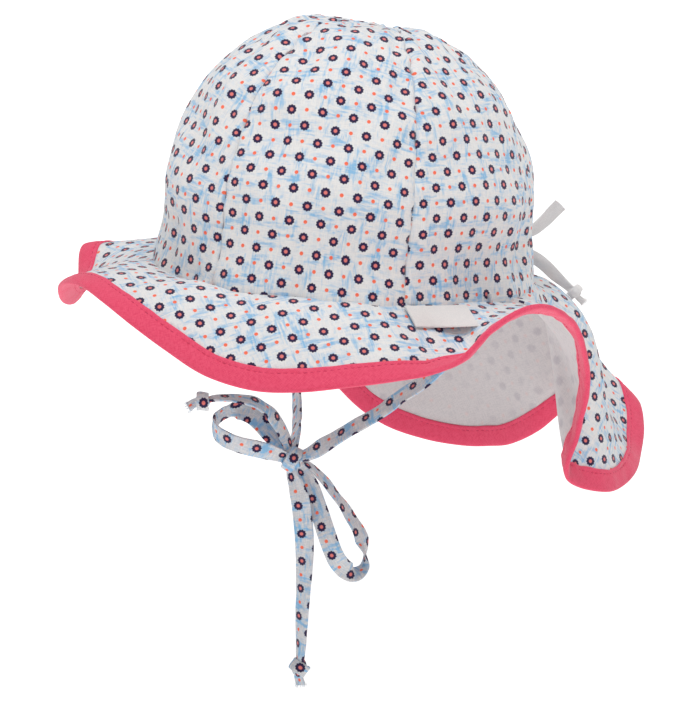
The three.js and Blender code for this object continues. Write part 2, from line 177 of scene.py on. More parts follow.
TAPE_UPPER = [
    (0.0219, 0.0805, 0.0045), (0.0255, 0.082, 0.005), (0.0295, 0.085, 0.006),
    (0.033, 0.089, 0.01), (0.036, 0.0925, 0.015), (0.038, 0.094, 0.0175),
]
TAPE_LOWER = [
    (0.0226, 0.0809, -0.003), (0.026, 0.0823, -0.0032), (0.03, 0.086, -0.0055),
    (0.0335, 0.0905, -0.01), (0.0365, 0.094, -0.0145), (0.0405, 0.0975, -0.019),
]
BOW_KNOT = (0, -0.033, -0.0735)
LEFT_END_KNOT = (-0.0225, -0.0622, -0.0465)
LOWER_END_KNOT = (0.0038, -0.0332, -0.1657)
TAPE_END_KNOT = (0.0425, 0.099, -0.021)

# The print.
PITCH = 6.2  # from a flower to the nearest dot, in millimetres
FLOWER, HEART, DOT = 1.9, 0.74, 0.76  # radii in millimetres
PETALS = 10
PETAL_DEPTH = 0.13


def srgb(red, green, blue):
    """A colour as it is read from a screen, from 0 to 255, in the renderer's linear light."""
    shares = np.array([red, green, blue]) / 255
    linear = np.where(shares > 0.04045, ((shares + 0.055) / 1.055) ** 2.4, shares / 12.92)
    return (*linear.tolist(), 1.0)


GROUND = srgb(237, 235, 233)
GREY_THREAD = srgb(229, 227, 227)
# Painted shade: the ties' ground is a darker grey than the hat's ground, for ties that hang in shade
# and face away from the light.
SHADED_TIE_GROUND = srgb(209, 210, 213)
SKY = srgb(118, 184, 228)
NAVY = srgb(44, 34, 72)
CORAL = srgb(233, 124, 120)
ORANGE = srgb(255, 116, 84)
PINK = srgb(243, 86, 119)
PINK_THREAD = srgb(226, 66, 104)
TAPE_WHITE = srgb(250, 247, 245)
LABEL_WHITE = srgb(246, 241, 237)
# Painted shade: the lining's white and its threads are greyer than the print's ground, for the shaded
# inside and underside of the hat. The threads' tone against the white is the weave's own.
SHADED_LINING_WHITE = srgb(219, 214, 214)
SHADED_LINING_THREAD = srgb(209, 205, 206)
FLOWER_THROUGH_LINING = srgb(138, 130, 150)
DOT_THROUGH_LINING = srgb(240, 180, 170)
DARK_PINK = srgb(234, 70, 104)
DARK_PINK_THREAD = srgb(206, 52, 90)
TAPE_SHADE = srgb(231, 228, 227)

# Camera.
IMAGE = (700, 725)
CAMERA_AZIMUTH, CAMERA_ELEVATION = 42, 15
CAMERA_DISTANCE = 1.5
PIXELS_PER_METRE = 2420
ORIGIN_PIXEL = (345.5, 271.5)
SENSOR = 36


def way_to(azimuth, elevation):
    """The way from the hat to a place at an azimuth and an elevation, in degrees."""
    a, e = np.radians([azimuth, elevation])
    return Vector((np.sin(a) * np.cos(e), -np.cos(a) * np.cos(e), np.sin(e)))


def looking(name, data, location, at):
    """A camera or a light of the scene that looks from its location at a point."""
    made = bpy.data.objects.new(name, data)
    made.location = location
    made.rotation_mode = "QUATERNION"
    made.rotation_quaternion = (at - location).to_track_quat("-Z", "Y")
    bpy.context.scene.collection.objects.link(made)
    return made


to_camera = way_to(CAMERA_AZIMUTH, CAMERA_ELEVATION)
to_right = way_to(CAMERA_AZIMUTH + 90, 0)
to_top = to_camera.cross(to_right)
aim = to_right * (IMAGE[0] / 2 - ORIGIN_PIXEL[0]) / PIXELS_PER_METRE
aim += to_top * (ORIGIN_PIXEL[1] - IMAGE[1] / 2) / PIXELS_PER_METRE

camera_data = bpy.data.cameras.new("camera")
camera_data.sensor_width = SENSOR
camera_data.sensor_fit = "HORIZONTAL"
camera_data.lens = SENSOR * PIXELS_PER_METRE * CAMERA_DISTANCE / IMAGE[0]
bpy.context.scene.camera = looking("camera", camera_data, to_camera * CAMERA_DISTANCE, aim)
bpy.context.scene.view_settings.view_transform = "Standard"


# The hat's faces, and the curves they follow.
def smooth_table(rows):
    """A smooth curve through the rows of a table, read at values of its first column."""
    rows = np.array(rows, float)
    at, values = rows[:, 0], rows[:, 1:]
    step = np.diff(at)[:, None]
    rate = np.diff(values, axis=0) / step
    slope = np.vstack([rate[:1], rate[:1].repeat(len(at) - 2, 0), rate[-1:]])
    slope[1:-1] = (rate[:-1] * step[1:] + rate[1:] * step[:-1]) / (step[:-1] + step[1:])

    def read(x):
        x = np.asarray(x, float)
        i = np.clip(np.searchsorted(at, x, side="right") - 1, 0, len(at) - 2)
        h = step[i]
        t = (x - at[i])[..., None] / h
        start = 2 * t**3 - 3 * t**2 + 1
        leave = (t**3 - 2 * t**2 + t) * h
        arrive = (t**3 - t**2) * h
        ends = start * values[i] + (1 - start) * values[i + 1]
        return ends + leave * slope[i] + arrive * slope[i + 1]

    return read


def unit(vectors):
    return vectors / np.linalg.norm(vectors, axis=-1, keepdims=True)


def joined(*parts):
    """Grids of coordinates broadcast together and put side by side."""
    return np.stack(np.broadcast_arrays(*parts), -1)


def ramp(x, reach):
    """0 up to where x is 0, 1 from where it is at the given reach, and straight between."""
    return np.clip(x / reach, 0, 1)


def bell(x, reach, power=2):
    """1 where x is 0, fallen to about a third at the given reach, and soon 0 beyond it."""
    return np.exp(-((np.abs(x) / reach) ** power))


def reach_along(points, axis=0):
    """How far along its line of points each point lies."""
    steps = np.linalg.norm(np.diff(points, axis=axis), axis=-1)
    return np.insert(np.cumsum(steps, axis=axis), 0, 0, axis=axis)


def polar(bearing, radius, height):
    angle = np.radians(bearing)
    return joined(radius * np.cos(angle), radius * np.sin(angle), height)


def tipped(points):
    cos, sin = np.cos(np.radians(WORN_TILT)), np.sin(np.radians(WORN_TILT))
    x, y, z = np.moveaxis(points, -1, 0)
    return np.stack([x, cos * y + sin * z, cos * z - sin * y], -1)


def seam_point(bearing):
    return tipped(polar(bearing, 1, 0) * (HALF_WIDTH, HALF_LENGTH, 0))


crown_level = smooth_table(CROWN_LEVELS)
crown_top = CROWN_LEVELS[-1][1]


def panel_share(bearing):
    """How far across its crown panel a bearing lies, from 0 at one seam to 1 at the next."""
    return ((bearing - SEAM_TURN + 90) % (360 / PANELS)) / (360 / PANELS)


def crown_point(bearing, along):
    bearing, along = np.broadcast_arrays(np.asarray(bearing, float), np.asarray(along, float))
    left = 1 - along
    flat = polar(bearing, left, 0.0)
    x, y = flat[..., 0], flat[..., 1] + APEX_BACK * (1 - left**2) ** 2
    height, scale = np.moveaxis(crown_level(1 - np.hypot(x, y)), -1, 0)
    sunk = height - DIMPLE_DEPTH * bell(left, DIMPLE_REACH)
    turn = np.arctan2(y, x)
    puff = PANEL_PUFF * np.sin(np.pi * panel_share(bearing)) * np.sin(np.pi * along)
    points = [
        (HALF_WIDTH * scale + puff) * np.cos(turn),
        (HALF_LENGTH * scale + puff) * np.sin(turn) + CROWN_LEAN * (sunk / crown_top) ** 2,
        sunk,
    ]
    return tipped(np.stack(points, -1))


def turned(rows, by):
    """Rows of folds with all their bearings turned."""
    rows = np.array(rows, float)
    rows[:, [0, 1, 4]] += by
    return rows


fold = smooth_table(np.vstack([turned(FOLDS[-3:], -360), FOLDS, turned(FOLDS[:3], 360)]))


def sheet_point(bearing, along):
    """The middle face of brim and flap: along is 0 at the seam and 1 at the free edge."""
    bearing, along = np.broadcast_arrays(np.asarray(bearing, float), np.asarray(along, float))
    turns = 360 * np.floor((bearing + 180) / 360)
    edge, edge_radius, edge_height, middle, middle_radius, middle_height = np.moveaxis(
        fold(bearing - turns), -1, 0
    )
    s = along[..., None]
    swell = FLAP_SWELL * bell(bearing - turns - SWELL_BEARING, SWELL_REACH)[..., None]
    out = ramp(s, SWELL_END)
    swell = swell * 27 / 4 * out * (1 - out) ** 2  # the whole swell, a third of the way out
    return (
        seam_point(bearing) * (1 - s) * (1 - 2 * s)
        + polar(middle, middle_radius, middle_height) * 4 * s * (1 - s)
        + polar(edge, edge_radius, edge_height) * s * (2 * s - 1)
        + polar(middle, 1, SWELL_RISE) * swell
    )


def face(surface, bearing, along):
    """The two directions along a face at its points, and the way that it faces."""
    turn, reach = 0.05, 0.001
    around = (surface(bearing + turn, along) - surface(bearing - turn, along)) / (2 * turn)
    down = (surface(bearing, along + reach) - surface(bearing, along - reach)) / (2 * reach)
    return around, down, unit(np.cross(around, down))


def in_from_edge(bearing, distances, step=0.00095):
    """Places on the sheet at the distances in from its free edge, square to that edge."""
    bearing = np.array(bearing, float)
    along = np.ones_like(bearing)
    heading, travelled, places = None, 0.0, []
    for distance in distances:
        count = int(np.ceil((distance - travelled) / step - 1e-9))
        stride = (distance - travelled) / max(count, 1)
        for _ in range(count):
            around, down, normal = face(sheet_point, bearing, along)
            heading = np.cross(around, normal) if heading is None else heading
            heading = heading - (heading * normal).sum(-1, keepdims=True) * normal
            heading = unit(heading)
            aa, ad, dd = [(p * q).sum(-1) for p, q in ((around, around), (around, down), (down, down))]
            ha = (around * heading).sum(-1) * stride
            hd = (down * heading).sum(-1) * stride
            area = aa * dd - ad * ad
            bearing = bearing + (dd * ha - ad * hd) / area
            along = along + (aa * hd - ad * ha) / area
        travelled = distance
        places.append((bearing, along))
    return places


def evenly_along(points, count):
    """Shares of a line of points' index range that lie evenly along its length."""
    reach = reach_along(points)
    return np.interp(np.linspace(0, reach[-1], count), reach, np.linspace(0, 1, len(points)))


def ripples(u, v, size, seed, waves=9):
    """Soft random waves over a face, about -1 to 1, with bumps of the given size."""
    random = np.random.default_rng(seed)
    total = np.zeros(np.broadcast(u, v).shape)
    for _ in range(waves):
        angle, phase = random.uniform(0, 2 * np.pi, 2)
        length = size * random.uniform(0.7, 1.5)
        reach = u * np.cos(angle) + v * np.sin(angle)
        total += np.sin(2 * np.pi * reach / length + phase)
    return total / np.sqrt(waves)


# Meshes.
SHARP_ANGLE = 50


def body(name, points, faces, corner_maps, looks, node=None, face_looks=0):
    """A closed mesh from points, faces, a cloth map for each corner, and materials."""
    mesh = bpy.data.meshes.new(name)
    mesh.from_pydata(points.tolist(), [], faces)
    layer = mesh.uv_layers.new(name="cloth")
    layer.uv.foreach_set("vector", np.asarray(corner_maps, np.float32).ravel())
    for look in looks:
        mesh.materials.append(look)
    mesh.polygons.foreach_set("material_index", np.full(len(faces), face_looks, np.int32))
    mesh.polygons.foreach_set("use_smooth", np.ones(len(faces), bool))
    mesh.set_sharp_from_angle(angle=np.radians(SHARP_ANGLE))
    mesh.update()
    made = bpy.data.objects.new(name, mesh)
    bpy.context.scene.collection.objects.link(made)
    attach(made, "root")
    if node:
        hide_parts(node)
    return made


def cells(grid):
    """The four corners of each cell of a grid, in order round the cell."""
    corners = [grid[:-1, :-1], grid[1:, :-1], grid[1:, 1:], grid[:-1, 1:]]
    return np.stack(corners, 2).reshape(-1, 4, *grid.shape[2:])


def inside_out(points, quads):
    """Whether the quads of a closed surface face what it holds."""
    a, b, c, d = (points[quads[:, i]] for i in range(4))
    return (a * np.cross(b, c)).sum() + (a * np.cross(c, d)).sum() < 0


def shell(name, front, back, maps, looks, node):
    """A closed sheet between two grids of points. The second look is its back's."""
    rows, columns = front.shape[:2]
    points = np.vstack([front.reshape(-1, 3), back.reshape(-1, 3)])
    near = np.arange(rows * columns).reshape(rows, columns)
    far = near + rows * columns
    rims = []
    for side in (np.s_[:, 0], np.s_[::-1, -1], np.s_[0, ::-1], np.s_[-1, :]):
        a, b = near[side], far[side]
        rims.append(np.stack([a[1:], a[:-1], b[:-1], b[1:]], -1))
    parts = [cells(near), cells(far)[:, ::-1], np.vstack(rims)]
    faces = np.vstack(parts)
    if inside_out(points, faces):
        faces = faces[:, ::-1]
    corner_maps = np.vstack([maps.reshape(-1, 2)] * 2)[faces]
    face_looks = np.repeat([0, 1, 0], [len(part) for part in parts])
    return body(name, points, faces.tolist(), corner_maps, looks, node, face_looks)


def tube(name, rings, maps, look, slot, node=None, loop=False):
    """A closed mesh over rings of points, with a cap at each end or joined into a loop."""
    rows, columns = rings.shape[:2]
    points = rings.reshape(-1, 3)
    index = np.arange(rows * columns).reshape(rows, columns)
    index = np.vstack([index, index[:1]]) if loop else index
    caps = [] if loop else [index[0][::-1].tolist(), index[-1].tolist()]
    quads, corners = cells(np.column_stack([index, index[:, :1]])), cells(maps)
    faces = quads.tolist() + caps
    if inside_out(points, quads):
        faces = [f[::-1] for f in faces]
        corners = corners[:, ::-1]
    corner_maps = np.vstack([corners.reshape(-1, 2), np.zeros((columns * len(caps), 2))])
    return body(name, points, faces, corner_maps, [look], node)


def relaxed(solid, flat, rounds=1500, haste=1.6):
    """A flat pattern for a curved grid of points: cloth as it was before it was sewn."""
    slices = [
        (np.s_[1:, :], np.s_[:-1, :]),
        (np.s_[:, 1:], np.s_[:, :-1]),
        (np.s_[1:, 1:], np.s_[:-1, :-1]),
        (np.s_[1:, :-1], np.s_[:-1, 1:]),
    ]
    rest = [np.linalg.norm(solid[p] - solid[q], axis=-1, keepdims=True) for p, q in slices]
    flat = flat.copy()
    for _ in range(rounds):
        move, count = np.zeros_like(flat), np.zeros((*flat.shape[:2], 1))
        for (p, q), length in zip(slices, rest):
            apart = flat[p] - flat[q]
            pull = apart * (0.5 * (1 - length / np.linalg.norm(apart, axis=-1, keepdims=True)))
            move[p] -= pull
            move[q] += pull
            count[p] += 1
            count[q] += 1
        flat += haste * move / count
    return flat


def first_pattern(solid):
    """A rough flat pattern to relax: rows laid off square to the developed first column."""
    seam, edge = solid[:, 0], solid[:, -1]
    seam_steps = np.linalg.norm(np.diff(seam, axis=0), axis=1)
    edge_steps = np.linalg.norm(np.diff(edge, axis=0), axis=1)
    depth = reach_along(solid, 1)
    mean = (depth[1:, -1] + depth[:-1, -1]) / 2
    turn = np.concatenate([[0], np.cumsum((seam_steps - edge_steps) / mean)])
    turn -= turn[len(turn) // 2]
    middle = (turn[1:] + turn[:-1]) / 2
    steps = seam_steps[:, None] * np.stack([np.cos(middle), -np.sin(middle)], -1)
    line = np.vstack([[[0, 0]], np.cumsum(steps, axis=0)])
    away = np.stack([-np.sin(turn), -np.cos(turn)], -1)
    return line[:, None] + depth[..., None] * away[:, None]


def between(grid, row, column):
    """A grid's values at places between its rows and columns, smooth both ways."""

    def weights(t):
        return (
            -0.5 * t + t**2 - 0.5 * t**3,
            1 - 2.5 * t**2 + 1.5 * t**3,
            0.5 * t + 2 * t**2 - 1.5 * t**3,
            -0.5 * t**2 + 0.5 * t**3,
        )

    i = np.clip(np.floor(row).astype(int), 0, grid.shape[0] - 2)
    j = np.clip(np.floor(column).astype(int), 0, grid.shape[1] - 2)
    wide = np.pad(grid, ((1, 1), (1, 1), (0, 0)), mode="reflect", reflect_type="odd")
    down, across = weights(row - i), weights(column - j)
    total = 0
    for m in range(4):
        for n in range(4):
            total = total + (down[m] * across[n])[..., None] * wide[i + m, j + n]
    return total


def cut(surface, area, shape, grain, bearing, along):
    """The flat pattern of a stretch of a face, and the cloth map of places on it.

    The area is its two bearings and how far along it goes, and the grain is how far the pattern
    is turned and shifted on the print, in degrees and millimetres.
    """
    start, end, reach = area
    rows, columns = shape
    solid = surface(np.linspace(start, end, rows)[:, None], np.linspace(0, reach, columns))
    flat = relaxed(solid, first_pattern(solid))
    flat -= flat[rows // 2, 0]
    turn, shift = grain
    cos, sin = np.cos(np.radians(turn)), np.sin(np.radians(turn))
    flat = flat @ np.array([(cos, sin), (-sin, cos)]) / MM + shift
    row = (bearing - start) / (end - start) * (rows - 1)
    return flat, between(flat, row, along / reach * (columns - 1))


# Materials. Sizes on the cloth are in millimetres, and ranges are of noise that is turned into
# 0 at their low end and 1 at their high end.
THREAD_HEIGHT = 0.4 * MM
THREAD_RANGE, WORN_RANGE = (0.85, 1.25), (0.45, 0.75)
PINK_THREAD_RANGE, TAPE_RANGE = (0.8, 1.3), (1.0, 2.2)
PATCH_RANGE, STREAK_RANGE, LINING_PATCH_RANGE = (0.5, 0.64), (0.34, 0.64), (0.3, 0.6)
PATCHES_AND_STREAKS = [((6, 15), (1.5, 8)), ((17, 6), (8, 1.5))]  # upright and level, sizes
SKY_STRENGTH, SKY_HAZE, SKY_MOST = 0.6, 0.17, 0.85
PRINT_BLUR, LINING_BLUR = 0.16, 0.7
FLOWER_SHOWS, DOT_SHOWS = 0.27, 0.2
WORN_SHARE = 0.18


class Look:
    """Builds one procedural material."""

    def __init__(self, name):
        self.material = bpy.data.materials.new(name)
        self.material.use_nodes = True
        self.tree = self.material.node_tree
        self.tree.nodes.clear()

    def add(self, kind, inputs=None, **settings):
        node = self.tree.nodes.new(kind)
        for key, value in settings.items():
            setattr(node, key, value)
        for key, value in (inputs or {}).items():
            if isinstance(value, bpy.types.NodeSocket):
                self.tree.links.new(value, node.inputs[key])
            else:
                node.inputs[key].default_value = value
        return node

    def cloth_map(self):
        return self.add("ShaderNodeUVMap", uv_map="cloth").outputs[0]

    def math(self, operation, a, b=0.0, c=0.0):
        return self.add("ShaderNodeMath", {0: a, 1: b, 2: c}, operation=operation).outputs[0]

    def vector(self, operation, a, b=(0, 0, 0)):
        return self.add("ShaderNodeVectorMath", {0: a, 1: b}, operation=operation)

    def step(self, value, low, high):
        """0 where the value is at low, 1 where it is at high, and smooth between."""
        inputs = {"Value": value, "From Min": low, "From Max": high}
        return self.add("ShaderNodeMapRange", inputs, interpolation_type="SMOOTHSTEP").outputs[0]

    def mix(self, share, a, b):
        inputs = {0: share, 6: a, 7: b}
        return self.add("ShaderNodeMix", inputs, data_type="RGBA").outputs[2]

    def noise(self, place, size, detail=2.0, roughness=0.5):
        """Noise over the cloth map, whose grains have that width and height in millimetres."""
        stretched = self.vector("MULTIPLY", place, (1 / size[0], 1 / size[1], 1)).outputs[0]
        inputs = {"Vector": stretched, "Scale": 1.0, "Detail": detail, "Roughness": roughness}
        return self.add("ShaderNodeTexNoise", inputs, noise_dimensions="2D").outputs[0]

    def finish(self, colour, height, bump):
        """Matt cotton of that colour, with its threads as fine bumps."""
        bumps = {"Height": height, "Strength": bump, "Distance": THREAD_HEIGHT}
        cotton = {
            "Base Color": colour,
            "Roughness": 0.85,
            "Normal": self.add("ShaderNodeBump", bumps).outputs[0],
            "Sheen Weight": 0.25,
            "Sheen Roughness": 0.5,
            "Specular IOR Level": 0.25,
        }
        shader = self.add("ShaderNodeBsdfPrincipled", cotton)
        out = self.add("ShaderNodeOutputMaterial", {"Surface": shader.outputs[0]})
        out.is_active_output = True
        return self.material


def weave(look, place, across=0.42, long=3.2):
    """Threads both ways: uneven fine streaks along and across the cloth."""
    warp = look.noise(place, (across, long))
    weft = look.noise(place, (long, across))
    return look.math("ADD", warp, weft)


def print_masks(look, place, blur):
    """Where the flowers, their hearts and the dots are on the cloth."""
    cell = look.vector("MULTIPLY", place, (1 / PITCH, 1 / PITCH, 0)).outputs[0]
    whole = look.add("ShaderNodeSeparateXYZ", {0: look.vector("FLOOR", cell).outputs[0]})
    inside = look.vector("SUBTRACT", look.vector("FRACTION", cell).outputs[0], (0.5, 0.5, 0))
    inside = look.vector("MULTIPLY", inside.outputs[0], (PITCH, PITCH, 0)).outputs[0]
    radius = look.vector("LENGTH", inside).outputs[1]
    parts = look.add("ShaderNodeSeparateXYZ", {0: inside})
    turn = look.math("ARCTAN2", parts.outputs[1], parts.outputs[0])
    petal = look.math("COSINE", look.math("MULTIPLY", turn, PETALS))
    scalloped = look.math("MULTIPLY_ADD", petal, PETAL_DEPTH, radius)
    odd = look.math("FLOORED_MODULO", look.math("ADD", whole.outputs[0], whole.outputs[1]), 2.0)
    even = look.math("SUBTRACT", 1.0, odd)
    flower = look.step(scalloped, FLOWER + blur, FLOWER - blur)
    heart = look.step(radius, HEART + blur, HEART - blur)
    dot = look.step(radius, DOT + blur, DOT - blur)
    return look.math("MULTIPLY", flower, even), heart, look.math("MULTIPLY", dot, odd)


def printed_cotton(name, base=GROUND, sky_share=1.0):
    """Off-white cloth with brushed sky-blue streaks both ways, flowers and dots."""
    look = Look(name)
    place = look.cloth_map()
    threads = weave(look, place)
    brushed, patches = [], []
    for patch, streak in PATCHES_AND_STREAKS:
        where = look.step(look.noise(place, patch, 3.0, 0.65), *PATCH_RANGE)
        brushed.append(look.step(look.noise(place, streak, 2.5, 0.62), *STREAK_RANGE))
        patches.append(look.math("MULTIPLY", where, brushed[-1]))
    haze = look.math("MULTIPLY", look.math("MULTIPLY", *brushed), SKY_HAZE)
    sky = look.math("MULTIPLY_ADD", look.math("ADD", *patches), SKY_STRENGTH * sky_share, haze)
    sky = look.math("MINIMUM", sky, SKY_MOST)
    ground = look.mix(look.step(threads, *THREAD_RANGE), base, GREY_THREAD)
    colour = look.mix(sky, ground, SKY)
    flower, heart, dot = print_masks(look, place, PRINT_BLUR)
    colour = look.mix(flower, colour, NAVY)
    colour = look.mix(look.math("MULTIPLY", flower, heart), colour, CORAL)
    colour = look.mix(dot, colour, ORANGE)
    return look.finish(colour, threads, 0.35)


def see_through_lining(name):
    """The back of the printed cloth: a white darkened towards grey, which is painted shade for the
    inside of the hat, with the print faintly showing through.
    """
    look = Look(name)
    place = look.cloth_map()
    threads = weave(look, place)
    flower, _, dot = print_masks(look, place, LINING_BLUR)
    patchy = look.step(look.noise(place, (40, 40)), *LINING_PATCH_RANGE)
    ground = look.mix(look.step(threads, *THREAD_RANGE), SHADED_LINING_WHITE, SHADED_LINING_THREAD)
    shown = look.math("MULTIPLY", look.math("MULTIPLY", flower, patchy), FLOWER_SHOWS)
    colour = look.mix(shown, ground, FLOWER_THROUGH_LINING)
    colour = look.mix(look.math("MULTIPLY", dot, DOT_SHOWS), colour, DOT_THROUGH_LINING)
    return look.finish(colour, threads, 0.3)


def pink_binding(name, colour, dark):
    """Bias-cut cotton, whose threads run at 45 degrees, a little worn in patches."""
    look = Look(name)
    place = look.cloth_map()
    turn = {"Vector": place, "Angle": np.radians(45)}
    bias = look.add("ShaderNodeVectorRotate", turn, rotation_type="Z_AXIS").outputs[0]
    threads = weave(look, bias, 0.36, 2.4)
    worn = look.step(look.noise(place, (7, 4), 3.0, 0.6), *WORN_RANGE)
    base = look.mix(look.step(threads, *PINK_THREAD_RANGE), colour, dark)
    base = look.mix(look.math("MULTIPLY", worn, WORN_SHARE), base, dark)
    return look.finish(base, threads, 0.4)


def white_tape(name, colour, rib):
    """Woven tape with fine ribs across it."""
    look = Look(name)
    place = look.cloth_map()
    wave = {"Vector": place, "Scale": 1 / rib / 2, "Distortion": 0.6, "Detail": 1.0}
    ribs = look.add("ShaderNodeTexWave", wave, bands_direction="X").outputs[1]
    threads = look.math("ADD", ribs, weave(look, place, 0.3, 2.0))
    shade = look.mix(look.step(threads, *TAPE_RANGE), TAPE_SHADE, colour)
    return look.finish(shade, threads, 0.35)


print_look = printed_cotton("printed_cotton")
# The ties are the hat's printed cotton with more of the sky-blue print, on a darker ground that is
# painted shade.
tie_look = printed_cotton("printed_tie", SHADED_TIE_GROUND, sky_share=1.2)
lining_look = see_through_lining("white_lining")
pink_look = pink_binding("pink_binding", PINK, DARK_PINK)
thread_look = pink_binding("pink_thread", PINK_THREAD, DARK_PINK_THREAD)
tape_look = white_tape("white_tape", TAPE_WHITE, 0.5)
label_look = white_tape("white_label", LABEL_WHITE, 0.3)

# Ties and tapes.
RIGHT, TOP, SEEN_FROM = np.array(to_right), np.array(to_top), np.array(to_camera)
TIE, TAPE = (TIE_WIDTH, TIE_THICKNESS), (TAPE_WIDTH, TAPE_THICKNESS)
PRINTED, WHITE = (tie_look, "printed_cotton"), (tape_look, "white_cotton")
STRIP_STEP = 0.0008
PINCH, PINCH_REACH = 0.38, 0.012
STRIP_WAVE, STRIP_WAVE_SIZE = 0.00016, 0.011
STRIP_CURL, STRIP_CURL_SIZE = 0.00035, 0.03
FOLD_LINE_DEPTH, FOLD_LINE_AT, FOLD_LINE_REACH = 0.00016, 0.62, 0.07
MAP_SHIFT = 37  # along the print from one strip to the next, in millimetres


def kind(node):
    """The section and the cloth of a strip: white tape for the drawstring, or else a tie."""
    return (TAPE, WHITE) if node.startswith("drawstring") else (TIE, PRINTED)


def swinging(start, end):
    """A strip's facing that swings evenly from one bearing to another."""
    return lambda share, points, along: polar(start + (end - start) * share, 1, 0)


def turning(*stops):
    """A strip's facing by stops of share and degrees that it is turned out of full view."""
    table = np.array(stops, float)

    def facing(share, points, along):
        turn = np.radians(np.interp(share, table[:, 0], table[:, 1]))[:, None]
        out = unit(np.cross(along, np.cross(SEEN_FROM, along)))
        return out * np.cos(turn) + np.cross(along, out) * np.sin(turn)

    return facing


def winding(centre):
    """The facing of a strip that winds round a knot."""
    return lambda share, points, along: unit(points - centre)


def tucked(route, start, end):
    """A route whose ends run on, half of the way to the middles of the knots there."""
    route = [np.array(point) for point in route]
    if start is not None:
        route = [(route[0] + start) / 2, *route]
    if end is not None:
        route = [*route, (route[-1] + end) / 2]
    return route


def spine(route):
    """Points evenly along a smooth line through a route, and the line's directions."""
    route = np.array(route, float)
    reach = reach_along(route)
    line = smooth_table(np.column_stack([reach, route]))
    dense = line(np.linspace(0, reach[-1], 40 * len(route)))
    length = reach_along(dense)[-1]
    points = line(evenly_along(dense, int(length / STRIP_STEP) + 2) * reach[-1])
    return points, unit(np.gradient(points, axis=0)), length


def flat_section(count=28):
    """The outline of a folded strip, from -1 to 1 each way: flat sides and round edges."""
    angle = np.linspace(0, 2 * np.pi, count, endpoint=False) + np.pi / count
    across = np.sign(np.cos(angle)) * np.abs(np.cos(angle)) ** 0.55
    out = np.sign(np.sin(angle)) * np.abs(np.sin(angle)) ** 0.45
    return across, out


def strip(name, route, size, facing, pinched, cloth, node, seed):
    """A flat strip of cloth along a route: its body, its length and its middle line."""
    width, thickness = size
    points, along, length = spine(route)
    share = np.linspace(0, 1, len(points))
    side = unit(np.cross(along, facing(share, points, along)))
    out = np.cross(side, along)
    narrow = np.ones_like(share)
    for from_end, at_knot in zip((share * length, (1 - share) * length), pinched):
        near = ramp(from_end, PINCH_REACH)
        narrow = narrow * (1 - PINCH * at_knot * (1 - near * near * (3 - 2 * near)))
    half = width / 2 * narrow
    plump = thickness / 2 * (2 - narrow)
    across, thick = flat_section()
    reach = share * length
    wave = STRIP_WAVE * ripples(reach[:, None], across * width, STRIP_WAVE_SIZE, seed)
    curl = STRIP_CURL * ripples(reach, 0, STRIP_CURL_SIZE, seed + 1)[:, None] * (across**2 - 0.4)
    fold_line = FOLD_LINE_DEPTH * bell(across - FOLD_LINE_AT, FOLD_LINE_REACH) * thick
    lift = thick * plump[:, None] - fold_line + wave + curl
    rings = (
        points[:, None]
        + side[:, None] * (across[:, None] * half[:, None, None])
        + out[:, None] * lift[..., None]
    )
    outline = np.column_stack([across * width / 2, thick * thickness / 2])
    around = reach_along(np.vstack([outline, outline[:1]])) / MM
    maps = joined((reach / MM)[:, None] + MAP_SHIFT * seed, around[None])
    return tube(name, rings, maps, *cloth, node), length, points


STRIPS = [
    # node, route, the knots that its two ends run into, facing
    ("chin_tie_left", CHIN_TIE_LEFT, None, BOW_KNOT, turning((0, 62), (0.4, 52), (0.8, 50), (1, 30))),
    ("chin_tie_right", CHIN_TIE_RIGHT, None, BOW_KNOT, turning((0, 64), (1, 62))),
    ("bow_loop_left", BOW_LOOP_LEFT, BOW_KNOT, BOW_KNOT, swinging(-48, -228)),
    (
        "bow_loop_right", BOW_LOOP_RIGHT, BOW_KNOT, BOW_KNOT,
        turning((0, 28), (0.4, 12), (0.52, -60), (0.62, -132), (0.75, -114), (1, -106)),
    ),
    ("bow_tail_left", BOW_TAIL_LEFT, BOW_KNOT, LEFT_END_KNOT, turning((0, 50), (0.4, 58), (1, 74))),
    (
        "bow_tail_down", BOW_TAIL_DOWN, BOW_KNOT, LOWER_END_KNOT,
        turning((0, 35), (0.3, 4), (0.48, 28), (0.66, 44), (0.83, 56), (1, 62)),
    ),
    ("drawstring_end_upper", TAPE_UPPER, None, None, turning((0, 48), (1, 12))),
    ("drawstring_end_lower", TAPE_LOWER, None, TAPE_END_KNOT, turning((0, 20), (1, 35))),
]
strips = {}
for seed, (node, route, start, end, facing) in enumerate(STRIPS):
    size, cloth = kind(node)
    pinched = (start is not None, end is not None)
    route = tucked(route, start, end)
    strips[node] = strip(node + "_cloth", route, size, facing, pinched, cloth, node, seed)

# Crown. Each relief is given by its height or depth and by the size of its bumps.
PANEL_COLUMNS, PANEL_ROWS = 73, 111
MEAN_RADIUS = 0.08
CROWN_WAVE, CROWN_WAVE_SIZE, WAVE_FADE = 0.0011, 0.045, 0.012
CROWN_CREASE, CROWN_CREASE_SIZE, CREASE_FADE = 0.00045, 0.019, 0.006
SEAM_PUCKER, SEAM_PUCKER_SIZE, SEAM_PUCKER_REACH = 0.00055, 0.010, 0.005
SEAM_DEPTH, FOOT_DEPTH, SEAM_REACH = 0.0011, 0.0004, 0.0009
CHANNEL_HEIGHT, CHANNEL_REACH, CHANNEL_DEPTH = 0.019, 0.008, 0.0006
GATHER, GATHER_SIZE = 0.0010, 0.0085

# The turn of the print on each crown panel, in degrees, and its shift in millimetres.
PANEL_GRAIN = [
    (3, (6.1, 2.1)),
    (1.5, (4.4, 6.5)),
    (4, (1, 3)),
    (-3, (4, 2)),
    (2, (3, 5)),
    (-6.5, (5.0, 0.1)),
]


def gathered(bearing):
    """How strongly the drawstring gathers the crown: most at its back and at its far side."""
    back = np.clip(-np.cos(np.radians(bearing + 100)), 0, 1) ** 2
    return 0.3 + 0.9 * back + 0.9 * bell(bearing + 118, 22)


